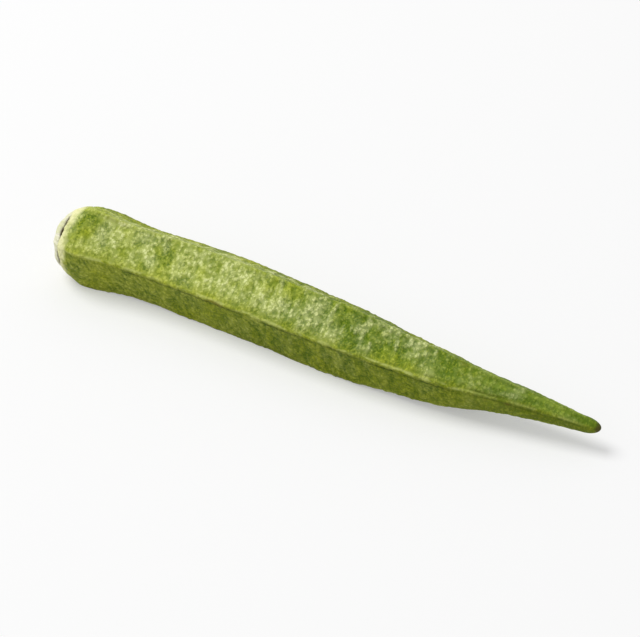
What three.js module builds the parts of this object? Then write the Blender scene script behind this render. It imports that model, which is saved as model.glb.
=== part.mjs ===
// A fresh okra pod, trimmed at the stalk and lying on one of its five faces.
//
// Millimetres, +Z up. The pod lies along X, with the cut stalk at -X and the beak at +X. The origin is on
// the table, under the middle of the pod's box.
//
// The pod is one body. It starts as a round blank turned from the outline of its ridges. Between the
// ridges the blank is pulled in to five flat faces, then each section is shifted onto the pod's gently
// curved axis, and what would reach below the table is pressed flat.

import * as THREE from "three";
import { mergeVertices } from "three/addons/utils/BufferGeometryUtils.js";

const { degToRad, lerp, smoothstep } = THREE.MathUtils;

// ---- Driving dimensions ----

const LENGTH = 130;

// The five ridges. The first one points up, so the pod lies on the face opposite it. They are a little
// uneven: each ridge strays by up to UNEVENNESS, and one of the two side ridges strays most.
const RIDGES = 5;
const FIRST_RIDGE = degToRad(90);
const RIDGE_SHARPNESS = 40; // exponent of the rounded pentagon
const UNEVENNESS = degToRad(-2.5);
const EVEN_AT = degToRad(72);

// The ridges wind round a little from the middle of the pod to the beak.
const TWIST = degToRad(-4.5);
const TWISTING = [45, 90]; // stations between which they wind

// The trimmed stalk: a low dome with a flat cut
const CUT_RADIUS = 3.0;
const DOME_RADIUS = 7.2;
const DOME_HEIGHT = 3.0;

// The groove that the fallen sepals left around the dome
const SCAR_RADIUS = 7.4;
const SCAR_STATION = 3.3;

// The ridges' outline from the scar's outer lip to the beak: [distance from the axis, distance from the cut]
const RIDGE_OUTLINE = [
  [7.8, 3.3], // the scar's outer lip
  [8.5, 5],
  [9.6, 9], // the shoulder
  [8.5, 20], // the waist
  [8.7, 40], // the belly
  [8.3, 70],
  [7, 85.5],
  [5.9, 96],
  [4, 106.5], // the foot of the beak
  [3.1, 114],
  [1.8, 126], // where the blunt end starts
];
const BEAK_END_RADIUS = 1.8; // the blunt end is a quarter of an ellipse from the outline's last point

// How far the faces lie inside the ridges, as a share of the ridges' distance from the axis
const STALK_PULL = 0.05;
const BODY_PULL = 0.185;
const BEAK_PULL = 0.07;
const FACES_START = [3.5, 12]; // stations between which the faces form behind the scar
const FACES_END = [86, 110]; // stations between which they fade into the beak

// The axis: its height over the table at the cut and at the tip, a slight sideways S, and a low arch in the
// beak, centred on BEAK_ARCH_STATION and over within BEAK_ARCH_REACH each way
const AXIS_HEIGHT_AT_CUT = 7.8;
const AXIS_HEIGHT_AT_TIP = 5.6;
const SWAY = 1.3;
const BEAK_ARCH = 0.6;
const BEAK_ARCH_STATION = 114;
const BEAK_ARCH_REACH = 16;

// Mesh fineness: steps around, a multiple of RIDGES so that each ridge has its own line of vertices, and
// steps along each stretch of the outline
const STEPS_AROUND = 40;
const DOME_STEPS = 5;
const OUTLINE_STEPS = 60;
const BEAK_END_STEPS = 4;

// ---- The outline of the ridges ----

// A quarter of an ellipse from [radius, station] `from` to `to`, leaving along the radius when
// `radiusFirst` is true and along the axis when it is false.
function quarterEllipse(from, to, radiusFirst, steps) {
  const points = [];
  for (let i = 0; i <= steps; i++) {
    const turn = (i / steps) * (Math.PI / 2);
    const along = radiusFirst ? Math.sin(turn) : 1 - Math.cos(turn);
    const across = radiusFirst ? 1 - Math.cos(turn) : Math.sin(turn);
    points.push(new THREE.Vector2(lerp(from[0], to[0], along), lerp(from[1], to[1], across)));
  }
  return points;
}

function domeOutline() {
  const edge = quarterEllipse([CUT_RADIUS, 0], [DOME_RADIUS, DOME_HEIGHT], true, DOME_STEPS);
  const scar = new THREE.Vector2(SCAR_RADIUS, SCAR_STATION);
  return [new THREE.Vector2(0, 0), ...edge, scar];
}

function ridgeOutline() {
  const points = RIDGE_OUTLINE.map(([radius, station]) => new THREE.Vector2(radius, station));
  return new THREE.SplineCurve(points).getPoints(OUTLINE_STEPS);
}

function beakEndOutline() {
  const start = RIDGE_OUTLINE[RIDGE_OUTLINE.length - 1];
  return quarterEllipse([BEAK_END_RADIUS, start[1]], [0, LENGTH], false, BEAK_END_STEPS).slice(1);
}

// ---- From the round blank to the pod ----

// 0 in the middle of a face and 1 on a ridge, along a pentagon whose corners are rounded.
function ridgeShare(angle) {
  const halfStep = Math.PI / RIDGES;
  const roundedPentagon = (a) => {
    let sum = 0;
    for (let k = 0; k < RIDGES; k++) {
      const faceAngle = FIRST_RIDGE + (2 * k + 1) * halfStep;
      sum += Math.pow(Math.max(0, Math.cos(a - faceAngle)), RIDGE_SHARPNESS);
    }
    return Math.pow(sum, -1 / RIDGE_SHARPNESS);
  };
  const atFace = roundedPentagon(FIRST_RIDGE + halfStep);
  const atRidge = roundedPentagon(FIRST_RIDGE);
  return (roundedPentagon(angle) - atFace) / (atRidge - atFace);
}

function facePull(station) {
  const formed = smoothstep(station, ...FACES_START);
  const faded = smoothstep(station, ...FACES_END);
  return lerp(lerp(STALK_PULL, BODY_PULL, formed), BEAK_PULL, faded);
}

function axisAt(station) {
  const share = station / LENGTH;
  const fromArch = Math.min(1, Math.abs(station - BEAK_ARCH_STATION) / BEAK_ARCH_REACH);
  const arch = (BEAK_ARCH * (1 + Math.cos(Math.PI * fromArch))) / 2;
  return {
    side: SWAY * Math.sin(2 * Math.PI * share),
    height: lerp(AXIS_HEIGHT_AT_CUT, AXIS_HEIGHT_AT_TIP, share) + arch,
  };
}

function shapePod(geometry) {
  const position = geometry.getAttribute("position");
  for (let i = 0; i < position.count; i++) {
    const station = position.getX(i);
    const blankRadius = Math.hypot(position.getY(i), position.getZ(i));
    const angle = Math.atan2(position.getZ(i), position.getY(i));
    const radius = blankRadius * (1 - facePull(station) * (1 - ridgeShare(angle)));
    const stray = UNEVENNESS * Math.sin(angle - EVEN_AT);
    const turned = angle + stray + TWIST * smoothstep(station, ...TWISTING);
    const axis = axisAt(station);
    position.setXYZ(
      i,
      station - LENGTH / 2,
      axis.side + radius * Math.cos(turned),
      Math.max(0, axis.height + radius * Math.sin(turned)),
    );
  }
}

function okraPod() {
  const outline = [...domeOutline(), ...ridgeOutline(), ...beakEndOutline()];
  const blank = new THREE.LatheGeometry(outline, STEPS_AROUND);
  blank.rotateZ(-Math.PI / 2); // the lathe turns about Y; the pod lies along X
  blank.deleteAttribute("normal");
  blank.deleteAttribute("uv");
  const geometry = mergeVertices(blank, 1e-3);
  shapePod(geometry);
  geometry.computeBoundingBox();
  geometry.translate(0, -(geometry.boundingBox.min.y + geometry.boundingBox.max.y) / 2, 0);
  geometry.computeVertexNormals();
  const skin = new THREE.MeshStandardMaterial({ color: 0x8ba04b, roughness: 0.7, metalness: 0 });
  const mesh = new THREE.Mesh(geometry, skin);
  mesh.name = "okra_pod";
  return mesh;
}

const part = new THREE.Group();
part.add(okraPod());

export default part;
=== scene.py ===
"""A fresh okra pod on a pale floor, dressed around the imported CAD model.

The CAD pod gives the sizes and what collides. This script replaces it with a finer skin, worked out
from the same outline, section and axis, and adds what the solid leaves out: rib cords, wrinkles,
pebbled down, the ragged scar, the knife marks on the stalk, and the colours.

Lengths are in millimetres until a mesh is made. Only the stage is in metres. A station is a distance
from the cut, measured along X.
"""

import math
from typing import NamedTuple

import bpy
import numpy as np
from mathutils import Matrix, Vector, noise


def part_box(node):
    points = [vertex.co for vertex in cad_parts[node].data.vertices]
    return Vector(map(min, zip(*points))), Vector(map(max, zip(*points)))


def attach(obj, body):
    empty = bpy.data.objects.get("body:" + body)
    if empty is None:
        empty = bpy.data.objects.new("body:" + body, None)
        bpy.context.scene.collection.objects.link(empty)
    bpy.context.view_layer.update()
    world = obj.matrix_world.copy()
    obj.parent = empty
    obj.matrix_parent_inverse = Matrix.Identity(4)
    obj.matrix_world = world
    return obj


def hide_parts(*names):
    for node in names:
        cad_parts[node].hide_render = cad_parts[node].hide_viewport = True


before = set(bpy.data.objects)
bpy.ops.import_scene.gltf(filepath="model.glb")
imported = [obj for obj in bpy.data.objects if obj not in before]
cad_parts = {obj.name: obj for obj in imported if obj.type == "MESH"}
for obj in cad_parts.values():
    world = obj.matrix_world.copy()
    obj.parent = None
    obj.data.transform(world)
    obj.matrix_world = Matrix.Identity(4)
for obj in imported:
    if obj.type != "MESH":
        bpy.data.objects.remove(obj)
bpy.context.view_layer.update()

MM = 0.001
NODE = "okra_pod"

# ---- Driving dimensions, as in the solid ----

LENGTH = 130.0

# The five ridges. The first one points up, so the pod lies on the face opposite it. They are a little
# uneven: each ridge strays by up to UNEVENNESS, and one of the two side ridges strays most.
RIDGES = 5
FIRST_RIDGE = math.radians(90)
RIDGE_SHARPNESS = 40  # exponent of the rounded pentagon
UNEVENNESS = math.radians(-2.5)
EVEN_AT = math.radians(72)

# The ridges wind round a little from the middle of the pod to the beak
TWIST = math.radians(-4.5)
TWISTING = (45.0, 90.0)  # stations between which they wind

# The trimmed stalk: a low dome with a flat cut
CUT_RADIUS = 3.0
DOME_RADIUS = 7.2
DOME_HEIGHT = 3.0

# The groove that the fallen sepals left around the dome
SCAR_RADIUS = 7.4
SCAR_STATION = 3.3

# The ridges' outline from the scar's outer lip to the beak: (distance from the axis, station)
RIDGE_OUTLINE = [
    (7.8, 3.3),  # the scar's outer lip
    (8.5, 5.0),
    (9.6, 9.0),  # the shoulder
    (8.5, 20.0),  # the waist
    (8.7, 40.0),  # the belly
    (8.3, 70.0),
    (7.0, 85.5),
    (5.9, 96.0),
    (4.0, 106.5),  # the foot of the beak
    (3.1, 114.0),
    (1.8, 126.0),  # where the blunt end starts
]
BEAK_END_RADIUS = 1.8  # the blunt end is a quarter of an ellipse from the outline's last point

# How far the faces lie inside the ridges, as a share of the ridges' distance from the axis
STALK_PULL = 0.05
BODY_PULL = 0.185
BEAK_PULL = 0.07
FACES_START = (3.5, 12.0)  # stations between which the faces form behind the scar
FACES_END = (86.0, 110.0)  # stations between which they fade into the beak

# The axis: its height over the table at the cut and at the tip, a slight sideways S, and a low arch in
# the beak, centred on BEAK_ARCH_STATION and over within BEAK_ARCH_REACH each way
AXIS_HEIGHT_AT_CUT = 7.8
AXIS_HEIGHT_AT_TIP = 5.6
SWAY = 1.3
BEAK_ARCH = 0.6
BEAK_ARCH_STATION = 114.0
BEAK_ARCH_REACH = 16.0

# ---- Fineness of the skin ----

COLUMNS = 190
BODY_ROW = 0.31  # spacing of the rows along the outline
FINE_ROW = 0.15  # spacing around the scar and the stalk
FINE_UNTIL = (9.0, 16.0)  # outline lengths between which the spacing widens
DOME_STEPS = 24
SPAN_STEPS = 24  # from one point of RIDGE_OUTLINE to the next
BEAK_END_STEPS = 16
NO_LENGTH = 1e-12  # stands in for a length of 0, which nothing can be divided by


# ---- Small numeric helpers ----


def smoothstep(x, low, high):
    """0 below `low`, 1 above `high` and smooth between."""
    t = np.clip((x - low) / (high - low), 0.0, 1.0)
    return t * t * (3 - 2 * t)


def fade(x, low, high):
    """1 below `low`, 0 above `high` and smooth between."""
    return 1 - smoothstep(x, low, high)


def lerp(a, b, share):
    return a + (b - a) * share


def bell(x, width):
    """1 at x = 0, falling off smoothly over about `width`."""
    return np.exp(-((x / width) ** 2))


# ---- The outline of the ridges ----


def quarter_ellipse(start, end, radius_first, steps):
    """A quarter of an ellipse between two points (radius, station).

    It leaves along the radius when `radius_first` is true, and along the axis when it is false.
    """
    turn = np.linspace(0, math.pi / 2, steps + 1)
    along = np.sin(turn) if radius_first else 1 - np.cos(turn)
    across = 1 - np.cos(turn) if radius_first else np.sin(turn)
    return np.column_stack([lerp(start[0], end[0], along), lerp(start[1], end[1], across)])


def spline_through(points, steps_per_span):
    """A uniform Catmull-Rom curve through the points."""
    knots = np.array(points, float)
    last = len(knots) - 1
    curve = []
    for i in range(last):
        a, b = knots[i], knots[i + 1]
        leave = (b - knots[max(i - 1, 0)]) / 2
        arrive = (knots[min(i + 2, last)] - a) / 2
        for t in np.arange(steps_per_span) / steps_per_span:
            curve.append(
                (2 * a - 2 * b + leave + arrive) * t**3
                + (-3 * a + 3 * b - 2 * leave - arrive) * t**2
                + leave * t
                + a
            )
    return np.array(curve + [knots[last]])


def outline_points():
    """The outline's points (radius, station), from the cut's middle to the tip, and the scar's index."""
    dome = quarter_ellipse((CUT_RADIUS, 0), (DOME_RADIUS, DOME_HEIGHT), True, DOME_STEPS)
    scar = (SCAR_RADIUS, SCAR_STATION)
    body = spline_through(RIDGE_OUTLINE, SPAN_STEPS)
    end_start = (BEAK_END_RADIUS, RIDGE_OUTLINE[-1][1])
    beak_end = quarter_ellipse(end_start, (0, LENGTH), False, BEAK_END_STEPS)
    return np.vstack([[(0, 0)], dome, [scar], body, beak_end[1:]]), 1 + len(dome)


def row_places(whole):
    """Where along an outline of length `whole` the rows lie."""
    places = [0.0]
    while places[-1] < whole:
        spacing = lerp(FINE_ROW, BODY_ROW, smoothstep(places[-1], *FINE_UNTIL))
        places.append(places[-1] + spacing)
    return np.array(places) * whole / places[-1]


def outline_rows():
    """Each row's radius, station and distance along the outline, and the distance of the scar."""
    points, scar_index = outline_points()
    length = np.concatenate([[0], np.cumsum(np.hypot(*np.diff(points, axis=0).T))])
    places = row_places(length[-1])
    radius = np.interp(places, length, points[:, 0])
    station = np.interp(places, length, points[:, 1])
    return radius, station, places, length[scar_index]


# ---- The section and the axis ----


def rounded_pentagon(angle):
    total = np.zeros_like(angle)
    for k in range(RIDGES):
        face = FIRST_RIDGE + (2 * k + 1) * math.pi / RIDGES
        total += np.maximum(0, np.cos(angle - face)) ** RIDGE_SHARPNESS
    return total ** (-1 / RIDGE_SHARPNESS)


def ridge_share(angle):
    """0 in the middle of a face and 1 on a ridge."""
    at_face, at_ridge = rounded_pentagon(np.array([FIRST_RIDGE + math.pi / RIDGES, FIRST_RIDGE]))
    return (rounded_pentagon(angle) - at_face) / (at_ridge - at_face)


def nearest_ridge(angle):
    """How far each angle has turned past its nearest ridge, that ridge's number and the face's."""
    step = 2 * math.pi / RIDGES
    turn = angle - FIRST_RIDGE
    ridge = np.round(turn / step).astype(int) % RIDGES
    face = np.floor(turn / step).astype(int) % RIDGES
    return (turn + step / 2) % step - step / 2, ridge, face


def face_pull(station):
    formed = lerp(STALK_PULL, BODY_PULL, smoothstep(station, *FACES_START))
    return lerp(formed, BEAK_PULL, smoothstep(station, *FACES_END))


def axis_at(station):
    """How far the axis lies to the side, and how high over the table."""
    share = station / LENGTH
    from_arch = np.minimum(1, np.abs(station - BEAK_ARCH_STATION) / BEAK_ARCH_REACH)
    arch = BEAK_ARCH * (1 + np.cos(math.pi * from_arch)) / 2
    side = SWAY * np.sin(2 * math.pi * share)
    return side, lerp(AXIS_HEIGHT_AT_CUT, AXIS_HEIGHT_AT_TIP, share) + arch


def place_sections(station, angle, section):
    """The points of the sections, with the ridges uneven and wound, set on the axis."""
    stray = UNEVENNESS * np.sin(angle - EVEN_AT)
    turned = angle + stray + TWIST * smoothstep(station, *TWISTING)
    side, height = axis_at(station)
    x = np.broadcast_to(station - LENGTH / 2, section.shape)
    return np.stack([x, side + section * np.cos(turned), height + section * np.sin(turned)], -1)


def outward_normals(points):
    """The normals of a grid of points. The first and last rows are the two ends, so theirs are set."""
    down_rows = np.gradient(points, axis=0)
    padded = np.concatenate([points[:, -1:], points, points[:, :1]], axis=1)
    round_columns = padded[:, 2:] - padded[:, :-2]
    normals = np.cross(round_columns, down_rows)
    normals /= np.maximum(np.linalg.norm(normals, axis=-1, keepdims=True), NO_LENGTH)
    normals[0] = (-1, 0, 0)
    normals[-1] = (1, 0, 0)
    return normals


# ---- The smooth skin ----

# How plainly each ridge is marked by its cord and crease, from the top one round
RIDGE_MARKED = (0.35, 1.0, 0.8, 0.9, 0.6)

NOISE_APART = 17.3  # how far apart two seeds lie in the noise, in features


class Skin:
    """The smooth skin as a grid: one row for each place along the outline, one column for each angle.

    `station` is a row's station, `run` its distance along the outline, and `behind` how much of that
    lies behind the scar. `angle` is a column's angle before the ridges' unevenness, and `share` is 0 in
    the middle of a face and 1 on a ridge. `across` is the distance from the nearest ridge, `marked` is
    how plain that ridge is, and `face` numbers the face.
    """

    def __init__(self):
        radius, station, run, scar_run = outline_rows()
        self.station = station[:, None]
        self.run = run[:, None]
        self.behind = self.run - scar_run
        self.angle = FIRST_RIDGE + np.linspace(0, 2 * math.pi, COLUMNS, endpoint=False)[None, :]
        self.share = ridge_share(self.angle)
        section = radius[:, None] * (1 - face_pull(self.station) * (1 - self.share))
        self.points = place_sections(self.station, self.angle, section)
        self.normals = outward_normals(self.points)
        turn, ridge, self.face = nearest_ridge(self.angle)
        self.across = turn * section
        self.marked = np.array(RIDGE_MARKED)[ridge]

    def noise(self, size, seed, stretch=1.0):
        """Smooth noise from about -1 to 1.

        Its features are about `size` across and `stretch` times as long along X.
        """
        scale = np.array([1 / (size * stretch), 1 / size, 1 / size])
        samples = (self.points * scale).reshape(-1, 3) + seed * NOISE_APART
        values = np.fromiter((noise.noise(p) for p in samples.tolist()), float, len(samples))
        return values.reshape(self.points.shape[:2])


class Patches(NamedTuple):
    """Patches where a noise of about `size` is high, frayed by a finer noise of about `fine_size`.

    The finer noise is `fraying` times as strong. `levels` are the noise at a patch's edge and the noise
    at which the patch is whole.
    """

    seed: int
    size: float
    stretch: float
    fine_size: float
    fine_stretch: float
    fraying: float
    levels: tuple

    def cover(self, skin, more=0.0):
        """1 in a patch and 0 outside. `more` is added to the noise, for more patches."""
        broad = skin.noise(self.size, self.seed, self.stretch)
        fine = skin.noise(self.fine_size, self.seed + 1, self.fine_stretch)
        return smoothstep(broad + self.fraying * fine + more, *self.levels)


# ---- The parts of the skin ----
#
# A mask is 1 where something is whole and 0 where there is none of it. A pair such as BODY_ENDS gives
# the stations between which it grows or fades, or where the comment says so, places behind the scar.

STALK_ENDS = (-0.4, -0.1)  # behind the scar
BODY_STARTS = (0.4, 3.0)  # behind the scar
BODY_ENDS = (123, 129)
BEAK_STARTS = (92, 112)

CREST_EDGE = (0.15, 0.9)  # distances from a ridge between which its crest turns into a face
CREST_DETAIL = 0.6  # how much of a face's detail a crest has
SMOOTHED_ON_BEAK = 0.6  # how much of the ridges' and faces' detail is lost on the beak
FADED_ON_BEAK = 0.5  # how much of the creases and the frosty down is lost there


def stalk_mask(skin):
    return fade(skin.behind, *STALK_ENDS)


def body_mask(skin):
    """1 along the pod's body and 0 on the stalk and the last of the beak."""
    return smoothstep(skin.behind, *BODY_STARTS) * fade(skin.station, *BODY_ENDS)


def beak_mask(skin):
    return smoothstep(skin.station, *BEAK_STARTS)


def off_beak(skin, loss):
    """1 over the pod, and less by `loss` on the beak."""
    return 1 - loss * beak_mask(skin)


def face_mask(skin):
    """1 over each face, less on the crests of the ridges and least on the beak."""
    beside = smoothstep(np.abs(skin.across), *CREST_EDGE)
    return lerp(CREST_DETAIL, 1.0, beside) * off_beak(skin, SMOOTHED_ON_BEAK) * body_mask(skin)


# ---- The down ----

TUFT_SIZE = 1.5
SMALL_TUFT_SIZE = 0.85
TUFT_CONTRAST = 0.7
TUFT_LEVELS = (-0.4, 0.45)  # the noise in a pit and on a tuft

# Painted light: the frost is painted whole on the side that faces the light, round the angle below, and
# thin on the shaded far side
LIT_SIDE_ANGLE = math.radians(96)
LIT_SIDE_EDGE = (0.4, 0.75)  # cosines of the turn from that angle, where the painted frost is thin and where whole
FROST_ON_SHADED_SIDE = 0.15  # how much of the frost is painted on the shaded side

FROSTY = Patches(
    seed=61, size=9.0, stretch=0.8, fine_size=3.2, fine_stretch=0.8, fraying=0.45, levels=(-0.2, 0.55)
)
FROSTIER_NEAR_STALK = 0.42  # added to that noise near the stalk, partly as painted light
FROST_EVENS_OUT = (12, 80)

BARE = Patches(
    seed=63, size=7.5, stretch=0.9, fine_size=2.6, fine_stretch=0.7, fraying=0.6, levels=(-0.05, 0.5)
)
BARER_ON_SHOULDER = 0.5  # added to that noise just behind the scar
SHOULDER_STARTS = (1.6, 3.2)  # behind the scar
SHOULDER_ENDS = (5.0, 9.0)  # behind the scar


def down_tufts(skin):
    """The fine grain of the downy skin: 1 on a tuft and 0 in the pits between tufts."""
    grain = TUFT_CONTRAST * skin.noise(TUFT_SIZE, seed=71, stretch=0.8)
    grain += TUFT_CONTRAST * skin.noise(SMALL_TUFT_SIZE, seed=72, stretch=0.9)
    return smoothstep(grain, *TUFT_LEVELS)


def lit_side(skin):
    """1 on the side that faces the light and less on the shaded side, for painted highlight and shade."""
    return lerp(FROST_ON_SHADED_SIDE, 1.0, smoothstep(np.cos(skin.angle - LIT_SIDE_ANGLE), *LIT_SIDE_EDGE))


def down_patches(skin):
    """Where the down lies thick and looks frosty, painted more on the side that faces the light and
    towards the stalk, as painted light.
    """
    towards_stalk = FROSTIER_NEAR_STALK * fade(skin.station, *FROST_EVENS_OUT)
    return FROSTY.cover(skin, towards_stalk) * lit_side(skin)


def bare_patches(skin):
    """Where the skin is bare and deep green: here and there, and more just behind the scar."""
    shoulder = smoothstep(skin.behind, *SHOULDER_STARTS) * fade(skin.behind, *SHOULDER_ENDS)
    return BARE.cover(skin, BARER_ON_SHOULDER * shoulder * (1 - skin.share))


# ---- The ridges ----

CORD_WIDTH = 0.36
CORD_LUMP_SIZE = 2.6
CORD_LUMPS = 0.7  # how much the lumps add to the cord's height, or take from it

CREASE_WIDTH = 0.2
CREASE_GAP = 0.75  # from a ridge to its crease
CREASE_GAP_ON_BEAK = 0.55
CREASE_WANDER = 0.25
CREASE_BEND_SIZE = 5.0
CREASED = Patches(
    seed=13, size=8.0, stretch=2.0, fine_size=2.0, fine_stretch=2.0, fraying=0.4, levels=(-0.1, 0.3)
)

# What is added to that noise past a ridge, going round from the top, before a ridge, and on the beak
CREASED_PAST_RIDGE = 0.15
CREASED_BEFORE_RIDGE = -0.25
CREASED_ON_BEAK = 0.2

SCUFFED = Patches(
    seed=67, size=5.0, stretch=1.8, fine_size=1.2, fine_stretch=1.5, fraying=0.5, levels=(0.38, 0.75)
)
SCUFF_GAP = 0.35  # from a ridge to the middle of its scuffs
SCUFF_WIDTH = 0.55


def rib_cords(skin):
    """A low cord on each ridge, uneven along its length."""
    uneven = 1 + CORD_LUMPS * skin.noise(CORD_LUMP_SIZE, seed=11, stretch=1.6)
    plain = skin.marked * off_beak(skin, SMOOTHED_ON_BEAK)
    return bell(skin.across, CORD_WIDTH) * uneven * plain * body_mask(skin)


def rib_creases(skin):
    """The thin broken creases beside each ridge, mostly on its far side going round from the top."""
    wander = CREASE_WANDER * skin.noise(CREASE_BEND_SIZE, seed=12, stretch=2.0)
    gap = lerp(CREASE_GAP, CREASE_GAP_ON_BEAK, beak_mask(skin))
    side = np.where(skin.across > 0, CREASED_PAST_RIDGE, CREASED_BEFORE_RIDGE)
    broken = CREASED.cover(skin, side + CREASED_ON_BEAK * beak_mask(skin))
    plain = skin.marked * off_beak(skin, FADED_ON_BEAK)
    line = bell(np.abs(skin.across) - gap - wander, CREASE_WIDTH)
    return line * broken * plain * body_mask(skin)


def scuffs(skin):
    """Small brownish marks where the ridges have rubbed, just beside the crest."""
    beside = bell(skin.across - SCUFF_GAP, SCUFF_WIDTH)
    return SCUFFED.cover(skin) * beside * skin.marked * body_mask(skin)


# ---- The faces ----

SEED_SPACING = 5.2
SWELL_STAGGER = 0.37  # from one face's swells to the next one's, in spacings
SWELL_WANDER = 0.55  # in spacings
SWELL_WANDER_SIZE = 9.0
SWELL_MEAN = 0.7  # how strong the swells are, and how much a noise changes that
SWELL_VARIETY = 0.8
SWELL_VARIETY_SIZE = 11.0
SWELLS_START = (12, 26)
SWELLS_END = (86, 100)

WRINKLE_SIZE = 4.6
WRINKLE_NARROWNESS = 3.0  # how much narrower a crease is than the noise that it follows
WRINKLES_NEAR_STALK = 0.3
WRINKLES_START = (25, 60)
WRINKLES_END = (96, 110)

WELT_SIZE = 4.0
WELT_LEVELS = (0.28, 0.5)  # the noise at a welt's edge and where it is whole
WELTS_START = (30, 62)
WELTS_END = (92, 106)


def seed_swells(skin):
    """Soft swellings over the seeds, from about -1 between two seeds to about 1 on one."""
    phase = SWELL_STAGGER * skin.face + SWELL_WANDER * skin.noise(SWELL_WANDER_SIZE, seed=21)
    swell = np.sin(2 * math.pi * (skin.station / SEED_SPACING + phase))
    along = smoothstep(skin.station, *SWELLS_START) * fade(skin.station, *SWELLS_END)
    strength = SWELL_MEAN + SWELL_VARIETY * skin.noise(SWELL_VARIETY_SIZE, seed=23)
    return swell * (1 - skin.share) * along * strength


def wrinkles(skin):
    """Short creases across each face, strongest from the middle of the pod to the beak."""
    folded = 1 - np.abs(skin.noise(WRINKLE_SIZE, seed=22, stretch=0.3)) * WRINKLE_NARROWNESS
    grown = lerp(WRINKLES_NEAR_STALK, 1.0, smoothstep(skin.station, *WRINKLES_START))
    along = grown * fade(skin.station, *WRINKLES_END)
    return np.maximum(folded, 0) ** 2 * along * face_mask(skin)


def welts(skin):
    """Short pale welts across each face, as where the pod rubbed on its neighbours; they are painted
    pale, partly as highlight on the side that faces the light.
    """
    along = smoothstep(skin.station, *WELTS_START) * fade(skin.station, *WELTS_END)
    raised = smoothstep(skin.noise(WELT_SIZE, seed=24, stretch=0.28), *WELT_LEVELS)
    return raised * along * face_mask(skin)


# ---- The beak ----

STRIATION_SIZE = 1.3
STRIATION_CONTRAST = 2.2
FINE_STRIATION_SIZE = 0.7

TIP_DRY = (-1.9, -0.9)  # outline lengths, counted from the tip
TIP_RAGGED = 0.5
TIP_RAGGED_SIZE = 0.9


def beak_striations(skin):
    """Fine uneven cords along the beak, from -1 between two cords to 1 on one."""
    streaks = STRIATION_CONTRAST * skin.noise(STRIATION_SIZE, seed=31, stretch=16.0)
    streaks += skin.noise(FINE_STRIATION_SIZE, seed=33, stretch=9.0)
    return np.clip(streaks, -1, 1) * beak_mask(skin) * body_mask(skin)


def dry_tip(skin):
    """1 on the withered last millimetre of the beak, with a ragged edge."""
    ragged = TIP_RAGGED * skin.noise(TIP_RAGGED_SIZE, seed=65)
    return smoothstep(skin.run - skin.run.max() + ragged, *TIP_DRY)


# ---- The scar and the shoulder behind it ----

SCAR_WIDTH = 0.55  # in the middle of a face
SCAR_THREAD = 0.12  # where it crosses a ridge
SCAR_NARROWS = (0.05, 0.85)  # values of a skin's `share`
SCAR_LEAST = 0.04
SCAR_RAGGED = 0.5  # how much a noise widens or narrows it
SCAR_RAGGED_SIZE = 1.3
SCAR_FRAYED = 0.4  # how much a finer one does
SCAR_FRAYED_SIZE = 0.5
SCAR_WANDER = 0.25
SCAR_WANDER_SIZE = 2.2

PLEATS = 30
PLEAT_WANDER = 2.2  # radians of a pleat's wave
PLEAT_WANDER_SIZE = 3.0
PLEATS_START = (0.5, 1.8)  # behind the scar
PLEATS_END = (4.5, 10.0)  # behind the scar

RIM_STARTS = (0.0, 0.4)  # behind the scar
RIM_WIDTH = 1.8
RIM_WIDER_ON_RIDGE = 0.6
RIM_RAGGED = 0.9
RIM_RAGGED_SIZE = 1.6
RIM_EDGE = (-0.8, 1.4)  # past the rim's width


def scar_mask(skin):
    """The ragged scar, brown partly as painted shade in its groove: a lens on each face, thinning to a
    thread where it crosses a ridge.
    """
    width = lerp(SCAR_WIDTH, SCAR_THREAD, smoothstep(skin.share, *SCAR_NARROWS))
    ragged = SCAR_RAGGED * skin.noise(SCAR_RAGGED_SIZE, seed=3)
    frayed = SCAR_FRAYED * skin.noise(SCAR_FRAYED_SIZE, seed=4)
    wander = SCAR_WANDER * skin.noise(SCAR_WANDER_SIZE, seed=5)
    return bell(skin.behind - wander, np.maximum(width * (1 + ragged + frayed), SCAR_LEAST))


def shoulder_pleats(skin):
    """Short folds that run back from the scar on each face."""
    along = smoothstep(skin.behind, *PLEATS_START) * fade(skin.behind, *PLEATS_END)
    wander = PLEAT_WANDER * skin.noise(PLEAT_WANDER_SIZE, seed=32)
    return np.sin(PLEATS * (skin.angle - FIRST_RIDGE) + wander) * along * (1 - skin.share)


def pale_rim(skin):
    """The pale yellow band just behind the scar, with a ragged edge."""
    width = RIM_WIDTH + RIM_RAGGED * skin.noise(RIM_RAGGED_SIZE, seed=66)
    width += RIM_WIDER_ON_RIDGE * skin.share
    return smoothstep(skin.behind, *RIM_STARTS) * fade(skin.behind - width, *RIM_EDGE)


# ---- The trimmed stalk ----

# The flats that the knife left around the dome, with the depth of each, going round
FACET_DEPTHS = (0.34, 0.22, 0.4, 0.26, 0.36, 0.2, 0.3)
FACET_REACH = 0.42  # from a flat's middle to its edge, in radians
FACET_STRAY = 0.3  # how far a flat lies from its even place at most, in steps from flat to flat
FACET_SHUFFLE = 2.1  # sets how that differs from flat to flat
FACETS_BEGIN = (CUT_RADIUS - 0.3, CUT_RADIUS + 1.2)  # outline lengths
FACETS_STOP = (-1.6, -0.5)  # behind the scar

# The stub in the middle of the dome: a cut that isn't quite round, with a crisp edge and saw-like marks
CUT_OVAL = 0.05
CUT_CORNERS = 5
CUT_CORNER = 0.03
CUT_CORNERS_TURN = 1.0  # radians of their wave
CUT_EDGE = 0.12
SAW_SPACING = 0.55
SAW_WANDER = 1.2  # radians of the marks' wave
SAW_WANDER_SIZE = 1.8

PITH_EDGE = (1.1, 1.5)  # outline lengths
PITH_RAGGED = 0.25
PITH_RAGGED_SIZE = 0.9

BUNDLES = 17
BUNDLE_RING = 0.62 * CUT_RADIUS
BUNDLE_WIDTH = 0.24
BUNDLE_EDGE = (0.0, 0.8)  # heights of the wave between which a bundle begins
BUNDLE_WANDER = 1.5  # radians of that wave
BUNDLE_WANDER_SIZE = 1.5

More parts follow.
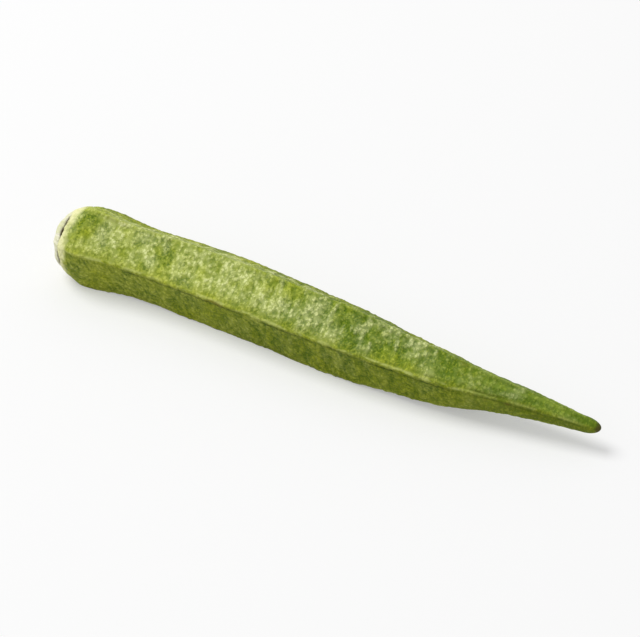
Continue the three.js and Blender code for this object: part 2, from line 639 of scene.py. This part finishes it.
# The fibres that run out over the dome: two sets of waves, which wander to opposite sides
FIBRES = 47
MORE_FIBRES = 29
FIBRE_WANDER = 2.0  # radians of the first set's wave
MORE_FIBRE_WANDER = -1.7  # times the wander of the first set
FIBRE_WANDER_SIZE = 2.0
FIBRES_START = (CUT_RADIUS, CUT_RADIUS + 0.6)  # outline lengths


def knife_facets(skin):
    """Flats that the knife left around the dome: how far each point is cut back."""
    cut_back = np.zeros_like(skin.points[..., 0])
    for k, depth in enumerate(FACET_DEPTHS):
        place = k + FACET_STRAY * math.sin(FACET_SHUFFLE * k)
        middle = FIRST_RIDGE + 2 * math.pi * place / len(FACET_DEPTHS)
        off = (skin.angle - middle + math.pi) % (2 * math.pi) - math.pi
        cut_back = np.maximum(cut_back, depth * (1 - (off / FACET_REACH) ** 2))
    return cut_back * smoothstep(skin.run, *FACETS_BEGIN) * fade(skin.behind, *FACETS_STOP)


def cut_mask(skin):
    """1 on the stub that the knife left in the middle of the dome, up to its crisp edge."""
    oval = CUT_OVAL * np.sin(2 * skin.angle)
    corners = CUT_CORNER * np.sin(CUT_CORNERS * skin.angle + CUT_CORNERS_TURN)
    edge = CUT_RADIUS * (1 + oval + corners)
    return fade(skin.run, edge - CUT_EDGE, edge + CUT_EDGE)


def pith_mask(skin):
    """1 on the soft middle of the cut."""
    return fade(skin.run + PITH_RAGGED * skin.noise(PITH_RAGGED_SIZE, seed=42), *PITH_EDGE)


def fibre_bundles(skin):
    """A ring of small hard fibre bundles round the pith."""
    wander = BUNDLE_WANDER * skin.noise(BUNDLE_WANDER_SIZE, seed=43)
    beads = smoothstep(np.cos(BUNDLES * skin.angle + wander), *BUNDLE_EDGE)
    return bell(skin.run - BUNDLE_RING, BUNDLE_WIDTH) * beads


def radial_fibres(skin):
    """Fine fibres that run out over the dome from the cut to the scar, from -1 to 1."""
    wander = FIBRE_WANDER * skin.noise(FIBRE_WANDER_SIZE, seed=44)
    waves = np.sin(FIBRES * skin.angle + wander)
    more_waves = np.sin(MORE_FIBRES * skin.angle + MORE_FIBRE_WANDER * wander)
    return (waves + more_waves) / 2 * smoothstep(skin.run, *FIBRES_START) * stalk_mask(skin)


def saw_marks(skin):
    """The knife's saw-like marks across the cut, from -1 to 1."""
    wander = SAW_WANDER * skin.noise(SAW_WANDER_SIZE, seed=45)
    return np.sin(2 * math.pi * skin.points[..., 2] / SAW_SPACING + wander)


# ---- The relief ----

# How far each form stands out from the skin, or reaches into it
STUB_HEIGHT = 0.42
SAW_MARK_DEPTH = 0.03
PITH_DEPTH = 0.16
BUNDLE_HEIGHT = 0.07
FIBRE_HEIGHT = 0.04
SCAR_DEPTH = 0.42
PLEAT_HEIGHT = 0.06
CORD_HEIGHT = 0.10
CREASE_DEPTH = 0.09
SWELL_HEIGHT = 0.18
WRINKLE_DEPTH = 0.10
WELT_HEIGHT = 0.15
STRIATION_HEIGHT = 0.06
TUFT_HEIGHT = 0.15  # from a pit to a tuft
TUFTS_OFF_FACES = 0.4  # how much of that height is left off the faces
DENT_HEIGHT = 0.12
DENT_SIZE = 3.4
BROAD_DENT_HEIGHT = 0.14
BROAD_DENT_SIZE = 10.0


def cut_face(skin):
    """The stub's height over the dome: saw-like knife marks, a sunken pith and raised bundles."""
    height = STUB_HEIGHT + SAW_MARK_DEPTH * saw_marks(skin)
    height += BUNDLE_HEIGHT * fibre_bundles(skin) - PITH_DEPTH * pith_mask(skin)
    return height * cut_mask(skin)


def tuft_relief(skin, tufts):
    """How far the tufts stand out and the pits reach in."""
    return TUFT_HEIGHT * (tufts - 0.5) * lerp(TUFTS_OFF_FACES, 1.0, face_mask(skin))


def dents(skin):
    """The gentle unevenness of the whole body."""
    small = DENT_HEIGHT * skin.noise(DENT_SIZE, seed=51)
    return small + BROAD_DENT_HEIGHT * skin.noise(BROAD_DENT_SIZE, seed=52, stretch=1.6)


def relief(skin, tufts):
    """How far the finished skin stands out from the smooth one."""
    height = CORD_HEIGHT * rib_cords(skin)
    height -= CREASE_DEPTH * rib_creases(skin)
    height += SWELL_HEIGHT * seed_swells(skin)
    height -= WRINKLE_DEPTH * wrinkles(skin)
    height += WELT_HEIGHT * welts(skin)
    height += STRIATION_HEIGHT * beak_striations(skin)
    height += PLEAT_HEIGHT * shoulder_pleats(skin)
    height -= SCAR_DEPTH * scar_mask(skin)
    height -= knife_facets(skin)
    height += FIBRE_HEIGHT * radial_fibres(skin)
    height += cut_face(skin)
    height += (tuft_relief(skin, tufts) + dents(skin)) * body_mask(skin)
    return height


# ---- Masks that the material reads ----

# What makes the skin look frosty: the down's pale bloom, and painted highlight on the side that faces the
# light
FROST_IN_PATCH = 0.35
FROST_ON_TUFT_IN_PATCH = 0.6
FROST_ON_TUFT = 0.15
# painted highlight on the tops of the seeds' swells
FROST_ON_SWELL = 0.2
FROST_ON_WELT = 0.5

# What makes it look bare and dark: bare patches, and painted shade in the pits, in wrinkles and between
# the seeds' swells
BARE_IN_PATCH = 0.45
BARE_IN_PIT_IN_PATCH = 0.6
BARE_IN_PIT = 0.5
BARE_BETWEEN_SWELLS = 0.25
BARE_IN_WRINKLE = 0.5
BARE_ON_SHADED_SIDE = 0.5  # how much of the bare patches is left on the shaded side, where the frost is painted thin

# The pale line on each crest, partly a painted highlight
CREST_LINE_SHIFT = -0.1
CREST_LINE_WIDTH = 0.28
SCAR_SPREAD = 1.5  # makes the scar's colour, dried brown and painted shade, reach a little past its groove
# Painted paler towards the stalk and darker towards the beak: partly the pod's own tone, partly painted
# light and shade
PALE_FADES = (5, 100)


def frost_and_highlight(skin, tufts):
    """How frosty the skin looks: most on the tufts in a patch of thick down, and on welts; painted as
    highlight mostly on the side that faces the light.
    """
    patches = down_patches(skin)
    side = lit_side(skin)
    white = patches * (FROST_IN_PATCH + FROST_ON_TUFT_IN_PATCH * tufts)
    white += FROST_ON_TUFT * tufts * side + FROST_ON_SWELL * seed_swells(skin) * patches
    white += FROST_ON_WELT * welts(skin) * side
    return np.clip(white, 0, 1) * body_mask(skin) * off_beak(skin, FADED_ON_BEAK)


def bareness_and_shade(skin, tufts):
    """How bare and dark the skin looks: most in the pits of a bare patch, and in wrinkles; the pits,
    wrinkles and hollows between swells get painted shade.
    """
    pits = 1 - tufts
    face = face_mask(skin)
    patches = bare_patches(skin) * lerp(BARE_ON_SHADED_SIDE, 1.0, lit_side(skin))
    dark = patches * (BARE_IN_PATCH + BARE_IN_PIT_IN_PATCH * pits) + BARE_IN_PIT * pits * face
    dark += BARE_IN_WRINKLE * wrinkles(skin) - BARE_BETWEEN_SWELLS * seed_swells(skin)
    return np.clip(dark * face, 0, 1) * body_mask(skin)


def crest_lines(skin):
    """The pale line along each ridge: partly the crest's own pale fibre, partly a painted highlight."""
    line = bell(skin.across - CREST_LINE_SHIFT, CREST_LINE_WIDTH)
    return line * skin.marked * body_mask(skin) * off_beak(skin, SMOOTHED_ON_BEAK)


def skin_masks(skin, tufts):
    """Named shares from 0 to 1 for the material, one value for each point."""
    return {
        "ridge": crest_lines(skin),
        "crease": rib_creases(skin),
        "scuff": scuffs(skin),
        "frost_and_highlight": frost_and_highlight(skin, tufts),
        "bare_and_shade": bareness_and_shade(skin, tufts),
        "rim": pale_rim(skin),
        "scar": np.clip(scar_mask(skin) * SCAR_SPREAD, 0, 1),
        "stalk": stalk_mask(skin),
        "cut": cut_mask(skin),
        "pith": pith_mask(skin),
        "bundle": fibre_bundles(skin),
        "radial": (1 + radial_fibres(skin)) / 2,
        # paler towards the stalk, partly painted light
        "pale": fade(skin.station, *PALE_FADES),
        # painted shade: 1 on the side away from the light
        "shaded_side": 1 - lit_side(skin),
        "beak": beak_mask(skin),
        "striation": (1 + beak_striations(skin)) / 2,
        "tip": dry_tip(skin),
    }


# ---- The mesh ----


def grid_faces(rows, columns):
    """Quads between neighbouring rows, with a fan to the one point at each end, all facing out."""
    row, column = np.meshgrid(np.arange(rows - 1), np.arange(columns), indexing="ij")
    corner = 1 + row * columns
    following = (column + 1) % columns
    beyond = corner + columns
    quads = np.stack([corner + column, corner + following, beyond + following, beyond + column], -1)
    around = np.arange(columns)
    after = (around + 1) % columns
    final_row = 1 + (rows - 1) * columns
    tip = np.full_like(around, 1 + rows * columns)
    first_fan = np.stack([np.zeros_like(around), 1 + after, 1 + around], -1)
    last_fan = np.stack([tip, final_row + around, final_row + after], -1)
    return first_fan.tolist() + quads.reshape(-1, 4).tolist() + last_fan.tolist()


def with_ends(grid):
    """The grid's values in vertex order: one for the first row, all inner rows, one for the last."""
    inner = grid[1:-1].reshape(-1, *grid.shape[2:])
    return np.concatenate([grid[:1, 0], inner, grid[-1:, 0]])


def add_mask(mesh, name, values, shape):
    attribute = mesh.attributes.new(name, "FLOAT", "POINT")
    attribute.data.foreach_set("value", with_ends(np.broadcast_to(values, shape)).astype(np.float32))


def lay_on_table(points, smooth_points):
    """Centres the pod as the solid is centred, and presses flat what would reach below the table."""
    points[..., 1] -= (smooth_points[..., 1].min() + smooth_points[..., 1].max()) / 2
    points[..., 2] = np.maximum(points[..., 2], 0)


def make_pod_skin():
    skin = Skin()
    tufts = down_tufts(skin)
    points = skin.points + skin.normals * relief(skin, tufts)[..., None]
    lay_on_table(points, skin.points)
    mesh = bpy.data.meshes.new("okra_pod_skin")
    inner_rows = points.shape[0] - 2
    mesh.from_pydata((with_ends(points) * MM).tolist(), [], grid_faces(inner_rows, COLUMNS))
    for name, values in skin_masks(skin, tufts).items():
        add_mask(mesh, name, values, points.shape[:2])
    mesh.shade_smooth()
    pod = bpy.data.objects.new("okra_pod_skin", mesh)
    bpy.context.scene.collection.objects.link(pod)
    return pod


# ---- Building node trees ----

# Where a Mix node keeps the sockets of its colours
MIX_A = 6
MIX_B = 7
MIX_RESULT = 2


def linear(channel):
    """An 8-bit sRGB channel in linear light."""
    share = channel / 255
    return ((share + 0.055) / 1.055) ** 2.4 if channel > 10 else share / 12.92


def colour(red, green, blue):
    """A colour given in 8-bit sRGB, as the linear RGBA that a shader socket takes."""
    return (linear(red), linear(green), linear(blue), 1.0)


class Nodes:
    """Builds a node tree with short calls. An input is a plain value or another node's output."""

    def __init__(self, tree):
        self.tree = tree
        self.tree.nodes.clear()

    def node(self, kind, **settings):
        made = self.tree.nodes.new(kind)
        for name, value in settings.items():
            setattr(made, name, value)
        return made

    def feed(self, socket, value):
        if isinstance(value, bpy.types.NodeSocket):
            self.tree.links.new(value, socket)
        else:
            socket.default_value = value

    def math(self, operation, a, b=0.0, clamp=False):
        made = self.node("ShaderNodeMath", operation=operation, use_clamp=clamp)
        self.feed(made.inputs[0], a)
        self.feed(made.inputs[1], b)
        return made.outputs[0]

    def times(self, a, b):
        return self.math("MULTIPLY", a, b)

    def mix(self, share, a, b):
        made = self.node("ShaderNodeMix", data_type="RGBA")
        self.feed(made.inputs["Factor"], share)
        self.feed(made.inputs[MIX_A], a)
        self.feed(made.inputs[MIX_B], b)
        return made.outputs[MIX_RESULT]

    def ramp(self, value, low, high, at_low=0.0, at_high=1.0, curve="SMOOTHSTEP"):
        """Goes from `at_low` to `at_high` as the value goes from `low` to `high`."""
        made = self.node("ShaderNodeMapRange", interpolation_type=curve)
        for socket, given in zip(made.inputs, (value, low, high, at_low, at_high)):
            self.feed(socket, given)
        return made.outputs[0]


class Material(Nodes):
    """One material, laid out in the object's own coordinates."""

    def __init__(self, name):
        self.material = bpy.data.materials.new(name)
        self.material.use_nodes = True
        super().__init__(self.material.node_tree)
        self.place = self.node("ShaderNodeTexCoord").outputs["Object"]

    def mask(self, name):
        return self.node("ShaderNodeAttribute", attribute_name=name).outputs["Fac"]

    def tint(self, under, mask, over, strength):
        """Lays the colour `over` on `under` where the mask is, by `strength` at most."""
        return self.mix(self.times(self.mask(mask), strength), under, over)

    def stretched(self, size, stretch):
        """Object coordinates in units of `size` millimetres, `stretch` times as long along X."""
        mapping = self.node("ShaderNodeMapping")
        self.feed(mapping.inputs["Vector"], self.place)
        unit = 1 / (size * MM)
        self.feed(mapping.inputs["Scale"], (unit / stretch, unit, unit))
        return mapping.outputs[0]

    def noise(self, size, stretch=1.0, detail=2.0, output="Fac"):
        made = self.node("ShaderNodeTexNoise")
        self.feed(made.inputs["Vector"], self.stretched(size, stretch))
        self.feed(made.inputs["Scale"], 1.0)
        self.feed(made.inputs["Detail"], detail)
        return made.outputs[output]

    def cells(self, size, stretch, bend_size, warp):
        """Distance from the middle of each cell. `warp` is how far a noise bends the cells, in cells."""
        bend = self.node("ShaderNodeVectorMath", operation="MULTIPLY_ADD")
        self.feed(bend.inputs[0], self.noise(bend_size, stretch, output="Color"))
        self.feed(bend.inputs[1], (warp, warp, warp))
        self.feed(bend.inputs[2], self.stretched(size, stretch))
        made = self.node("ShaderNodeTexVoronoi")
        self.feed(made.inputs["Vector"], bend.outputs[0])
        self.feed(made.inputs["Scale"], 1.0)
        return made.outputs["Distance"]

    def bump(self, height, depth, strength=1.0, normal=None):
        """`depth` is in millimetres."""
        made = self.node("ShaderNodeBump")
        self.feed(made.inputs["Height"], height)
        self.feed(made.inputs["Distance"], depth * MM)
        self.feed(made.inputs["Strength"], strength)
        if normal is not None:
            self.feed(made.inputs["Normal"], normal)
        return made.outputs[0]

    def finish(self, surface):
        output = self.node("ShaderNodeOutputMaterial")
        self.tree.links.new(surface, output.inputs["Surface"])
        return self.material


# ---- The pod's material ----

DEEP_GREEN = colour(70, 102, 8)
MID_GREEN = colour(110, 134, 18)
PALE_GREEN = colour(190, 202, 52)
YELLOW_GREEN = colour(202, 212, 66)
# Painted shade: the olive laid on the side away from the light
SHADE_OLIVE = colour(158, 156, 34)
# The down's pale bloom, partly a painted highlight
FROST_AND_HIGHLIGHT = colour(230, 237, 164)
# The ridges' pale fibre, partly a painted highlight
RIDGE_PALE_AND_HIGHLIGHT = colour(202, 210, 122)
# Painted shade in the creases beside the ridges
CREASE_SHADE = colour(58, 76, 8)
SCUFF_BROWN = colour(124, 104, 36)
RIM_YELLOW = colour(250, 248, 188)
# Dried brown of the scar, with painted shade in its groove
SCAR_BROWN_AND_SHADE = colour(74, 58, 20)
STALK_CREAM = colour(251, 248, 222)
STALK_GREEN = colour(222, 226, 162)
PITH_WHITE = colour(248, 246, 226)
BUNDLE_GREEN = colour(150, 160, 84)
# The beak's deep green, darkened partly as painted shade
BEAK_GREEN_AND_SHADE = colour(86, 112, 16)
BEAK_PALE = colour(136, 158, 52)
TIP_BROWN = colour(78, 70, 34)

# Sizes of the material's noises
TONE_SIZE = 9
GRAIN_SIZE = 0.45
PEBBLE_SIZE = 0.85
PEBBLE_BEND_SIZE = 0.8 * PEBBLE_SIZE
HAIR_SIZE = 0.22
CREST_BREAK_SIZE = 1.1
FLESH_SIZE = 2.6
CUT_GRAIN_SIZE = 0.5
RIM_GRAIN_SIZE = 0.8
ROUGHNESS_SIZE = 0.8

# Ramps: the value where each starts, the value where it ends, and what it gives at the one and the other
TONES = (0.35, 0.65, 0.0, 0.5)  # from the broad noise to the share of pale green
BEAK_STREAKS = (0.3, 0.95, 0.0, 1.0)  # from the beak's cords to its pale green
FLECKS = (0.48, 0.68, 0.0, 0.45)  # from the grain to the yellow flecks
FLECKS_ON_BEAK = (0.0, 1.0, 1.0, 0.35)  # from the beak's mask to how much of the flecks is left
PEBBLES = (0.15, 0.75, 1.0, 0.0)  # from the distance to a pebble's middle to the pebble
PEBBLE_GRAIN = (0.3, 0.65, 0.35, 1.0)  # from the grain to how plain the pebbles are
PITS = (0.0, 0.5, 0.36, 0.0)  # from the pebbles to the deep green between them, partly bare skin and partly painted shade in the hollows
BARE_GRAIN = (0.3, 0.6, 0.9, 0.5)  # from the grain to the deep green of bare skin
FROST_GRAIN = (0.05, 0.75, 0.4, 1.0)  # from the pebbles to the frost
CREST_BREAKS = (0.4, 0.62, 0.0, 0.8)  # from a noise to the ridges' pale lines
FLESH_TONES = (0.4, 0.68, 0.0, 0.55)  # from a noise to the green in the dome's flesh
FLESH_FIBRES = (0.3, 0.9, 0.0, 0.35)  # from the dome's fibres to the same
CUT_TONES = (0.35, 0.65, 0.3, 0.8)  # from a noise to the green in the cut
RIM_GRAIN = (0.3, 0.55, 0.7, 1.0)  # from a noise to the yellow of the rim
ROUGHNESS = (0.3, 0.7, 0.48, 0.68)  # from a noise to the roughness

PALE_STRENGTH = 0.7  # the most that the pod's end towards the stalk adds to the pale green, partly as painted light

# The bumps
HAIR_DEPTH = 0.08
PEBBLE_DEPTH = 0.14
PEBBLE_STRENGTH = 0.8

GLOSS = {
    "Specular IOR Level": 0.12,
    "Sheen Weight": 0.06,
    "Sheen Roughness": 0.45,
    "Sheen Tint": colour(216, 228, 150),
}


def pebbles(paint):
    """The pebbles of the down: 1 on each pebble and 0 between them."""
    distance = paint.cells(PEBBLE_SIZE, stretch=0.9, bend_size=PEBBLE_BEND_SIZE, warp=1.1)
    return paint.ramp(distance, *PEBBLES)


def plain_green(paint, grain):
    """The green under the down: pale towards the stalk, partly as painted light, streaked on the beak and
    darker there, partly as painted shade, and olive as painted shade on the side away from the light.
    """
    tone = paint.ramp(paint.noise(TONE_SIZE, stretch=1.3, detail=3), *TONES)
    # paler towards the stalk, partly painted light
    pale = paint.math("ADD", tone, paint.times(paint.mask("pale"), PALE_STRENGTH), clamp=True)
    beak = paint.mix(paint.ramp(paint.mask("striation"), *BEAK_STREAKS), BEAK_GREEN_AND_SHADE, BEAK_PALE)
    green = paint.mix(pale, MID_GREEN, PALE_GREEN)
    # the beak's green, darkened partly as painted shade
    green = paint.tint(green, "beak", beak, strength=0.8)
    # painted shade: olive on the side away from the light
    green = paint.tint(green, "shaded_side", SHADE_OLIVE, strength=0.4)
    off_the_beak = paint.ramp(paint.mask("beak"), *FLECKS_ON_BEAK)
    flecks = paint.times(paint.ramp(grain, *FLECKS), off_the_beak)
    return paint.mix(flecks, green, YELLOW_GREEN)


def add_down(paint, green, grain, pebble):
    """Adds deep green between pebbles and where the skin is bare, partly as painted shade, and frost
    where the down is thick, partly as painted highlight.
    """
    fine = paint.times(pebble, paint.ramp(grain, *PEBBLE_GRAIN))
    # painted shade in the hollows between pebbles, with the bare green there
    green = paint.mix(paint.ramp(fine, *PITS), green, DEEP_GREEN)
    # bare patches, with painted shade in pits and wrinkles
    green = paint.tint(green, "bare_and_shade", DEEP_GREEN, strength=paint.ramp(grain, *BARE_GRAIN))
    # frost, partly painted highlight on the side that faces the light
    return paint.tint(green, "frost_and_highlight", FROST_AND_HIGHLIGHT, strength=paint.ramp(fine, *FROST_GRAIN))


def add_ridges(paint, green):
    """Adds the ridges' broken pale lines, partly painted highlight, their scuffs, and the dark creases,
    painted shade.
    """
    broken = paint.ramp(paint.noise(CREST_BREAK_SIZE, stretch=2.5), *CREST_BREAKS)
    # pale crest lines, partly painted highlight
    green = paint.tint(green, "ridge", RIDGE_PALE_AND_HIGHLIGHT, strength=broken)
    green = paint.tint(green, "scuff", SCUFF_BROWN, strength=0.6)
    # painted shade in the creases
    return paint.tint(green, "crease", CREASE_SHADE, strength=0.8)


def stalk_colour(paint):
    """The trimmed flesh: cream, greener along its fibres, with the cut's ring of bundles and its pith."""
    mottled = paint.ramp(paint.noise(FLESH_SIZE, detail=4), *FLESH_TONES)
    flesh = paint.mix(mottled, STALK_CREAM, STALK_GREEN)
    flesh = paint.mix(paint.ramp(paint.mask("radial"), *FLESH_FIBRES), flesh, STALK_GREEN)
    cut = paint.mix(paint.ramp(paint.noise(CUT_GRAIN_SIZE), *CUT_TONES), STALK_CREAM, STALK_GREEN)
    cut = paint.tint(cut, "pith", PITH_WHITE, strength=0.9)
    cut = paint.tint(cut, "bundle", BUNDLE_GREEN, strength=0.75)
    return paint.mix(paint.mask("cut"), flesh, cut)


def add_ends(paint, green):
    """Adds the rim, the trimmed stalk, the scar, brown partly as painted shade, and the dry tip."""
    grainy = paint.ramp(paint.noise(RIM_GRAIN_SIZE), *RIM_GRAIN)
    whole = paint.tint(green, "rim", RIM_YELLOW, strength=grainy)
    whole = paint.mix(paint.mask("stalk"), whole, stalk_colour(paint))
    # the scar: dried brown and painted shade in its groove
    whole = paint.mix(paint.mask("scar"), whole, SCAR_BROWN_AND_SHADE)
    return paint.tint(whole, "tip", TIP_BROWN, strength=0.85)


def pod_colour(paint, pebble):
    grain = paint.noise(GRAIN_SIZE, stretch=0.9, detail=2)
    green = add_down(paint, plain_green(paint, grain), grain, pebble)
    return add_ends(paint, add_ridges(paint, green))


def pod_material():
    paint = Material("okra_skin")
    pebble = pebbles(paint)
    shader = paint.node("ShaderNodeBsdfPrincipled")
    paint.feed(shader.inputs["Base Color"], pod_colour(paint, pebble))
    rough = paint.ramp(paint.noise(ROUGHNESS_SIZE, detail=3), *ROUGHNESS)
    paint.feed(shader.inputs["Roughness"], rough)
    hairs = paint.bump(paint.noise(HAIR_SIZE, stretch=0.6, detail=4), HAIR_DEPTH)
    paint.feed(shader.inputs["Normal"], paint.bump(pebble, PEBBLE_DEPTH, PEBBLE_STRENGTH, hairs))
    for socket, value in GLOSS.items():
        shader.inputs[socket].default_value = value
    return paint.finish(shader.outputs[0])


# ---- The stage, in metres ----

FLOOR_SIZE = 4.0
FLOOR_SEEN = colour(252, 252, 252)
FLOOR_GLOW = 0.35  # share of plain white that the camera sees in the floor near the pod
FLOOR_FADE = (0.2, 1.2)  # distances from the origin between which that share grows to the whole
FLOOR_BOUNCE = colour(214, 214, 214)
SKY_LIGHT = 0.5

VIEW_AZIMUTH = math.radians(29.2)
VIEW_ELEVATION = math.radians(38)
VIEW_DISTANCE = 0.47
LENS = 125  # millimetres

KEY_PLACE = (-1.05, -0.15, 1.80)
KEY_SIZE = 1.20
KEY_WATTS = 25.5


def floor_material():
    """Nearly white to the camera, greyer to the light that it throws back."""
    paint = Material("studio_floor")
    seen = paint.node("ShaderNodeLightPath").outputs["Is Camera Ray"]
    matt = paint.node("ShaderNodeBsdfDiffuse")
    paint.feed(matt.inputs["Color"], paint.mix(seen, FLOOR_BOUNCE, FLOOR_SEEN))
    glow = paint.node("ShaderNodeEmission")
    away = paint.node("ShaderNodeVectorMath", operation="LENGTH")
    paint.feed(away.inputs[0], paint.place)
    share = paint.ramp(away.outputs["Value"], *FLOOR_FADE, FLOOR_GLOW, 1.0)
    mixed = paint.node("ShaderNodeMixShader")
    paint.feed(mixed.inputs[0], paint.times(seen, share))
    paint.feed(mixed.inputs[1], matt.outputs[0])
    paint.feed(mixed.inputs[2], glow.outputs[0])
    return paint.finish(mixed.outputs[0])


def make_floor():
    half = FLOOR_SIZE / 2
    mesh = bpy.data.meshes.new("studio_floor")
    corners = [(-half, -half, 0), (half, -half, 0), (half, half, 0), (-half, half, 0)]
    mesh.from_pydata(corners, [], [(0, 1, 2, 3)])
    mesh.materials.append(floor_material())
    floor = bpy.data.objects.new("studio_floor", mesh)
    bpy.context.scene.collection.objects.link(floor)


def aim(obj, place, target):
    obj.location = place
    obj.rotation_euler = (Vector(target) - Vector(place)).to_track_quat("-Z", "Y").to_euler()


def make_camera(target):
    data = bpy.data.cameras.new("camera")
    data.lens = LENS
    camera = bpy.data.objects.new("camera", data)
    bpy.context.scene.collection.objects.link(camera)
    level = math.cos(VIEW_ELEVATION)
    x = math.sin(VIEW_AZIMUTH) * level
    y = -math.cos(VIEW_AZIMUTH) * level
    back = Vector((x, y, math.sin(VIEW_ELEVATION)))
    aim(camera, target + back * VIEW_DISTANCE, target)
    bpy.context.scene.camera = camera


def make_key_light(target):
    """One large round softbox, high up beyond the stalk's end."""
    data = bpy.data.lights.new("key", "AREA")
    data.shape = "DISK"
    data.size = KEY_SIZE
    data.energy = KEY_WATTS
    lamp = bpy.data.objects.new("key", data)
    bpy.context.scene.collection.objects.link(lamp)
    aim(lamp, KEY_PLACE, target)


def make_world():
    """White to the camera and in reflections, and as strong as SKY_LIGHT where it lights things."""
    world = bpy.data.worlds.new("studio")
    bpy.context.scene.world = world
    world.use_nodes = True
    sky = Nodes(world.node_tree)
    rays = sky.node("ShaderNodeLightPath").outputs
    seen = sky.math("MAXIMUM", rays["Is Camera Ray"], rays["Is Glossy Ray"])
    seen = sky.math("MAXIMUM", seen, rays["Is Transmission Ray"])
    background = sky.node("ShaderNodeBackground")
    sky.feed(background.inputs["Color"], (1, 1, 1, 1))
    strength = sky.ramp(seen, 0.0, 1.0, SKY_LIGHT, 1.0, curve="LINEAR")
    sky.feed(background.inputs["Strength"], strength)
    output = sky.node("ShaderNodeOutputWorld")
    sky.feed(output.inputs["Surface"], background.outputs[0])


# ---- The scene ----

low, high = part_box(NODE)
middle = (low + high) / 2

make_camera(middle)
make_world()
make_floor()
make_key_light(middle)

pod = make_pod_skin()
pod.data.materials.append(pod_material())
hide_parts(NODE)
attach(pod, "root")

bpy.context.scene.view_settings.view_transform = "Standard"
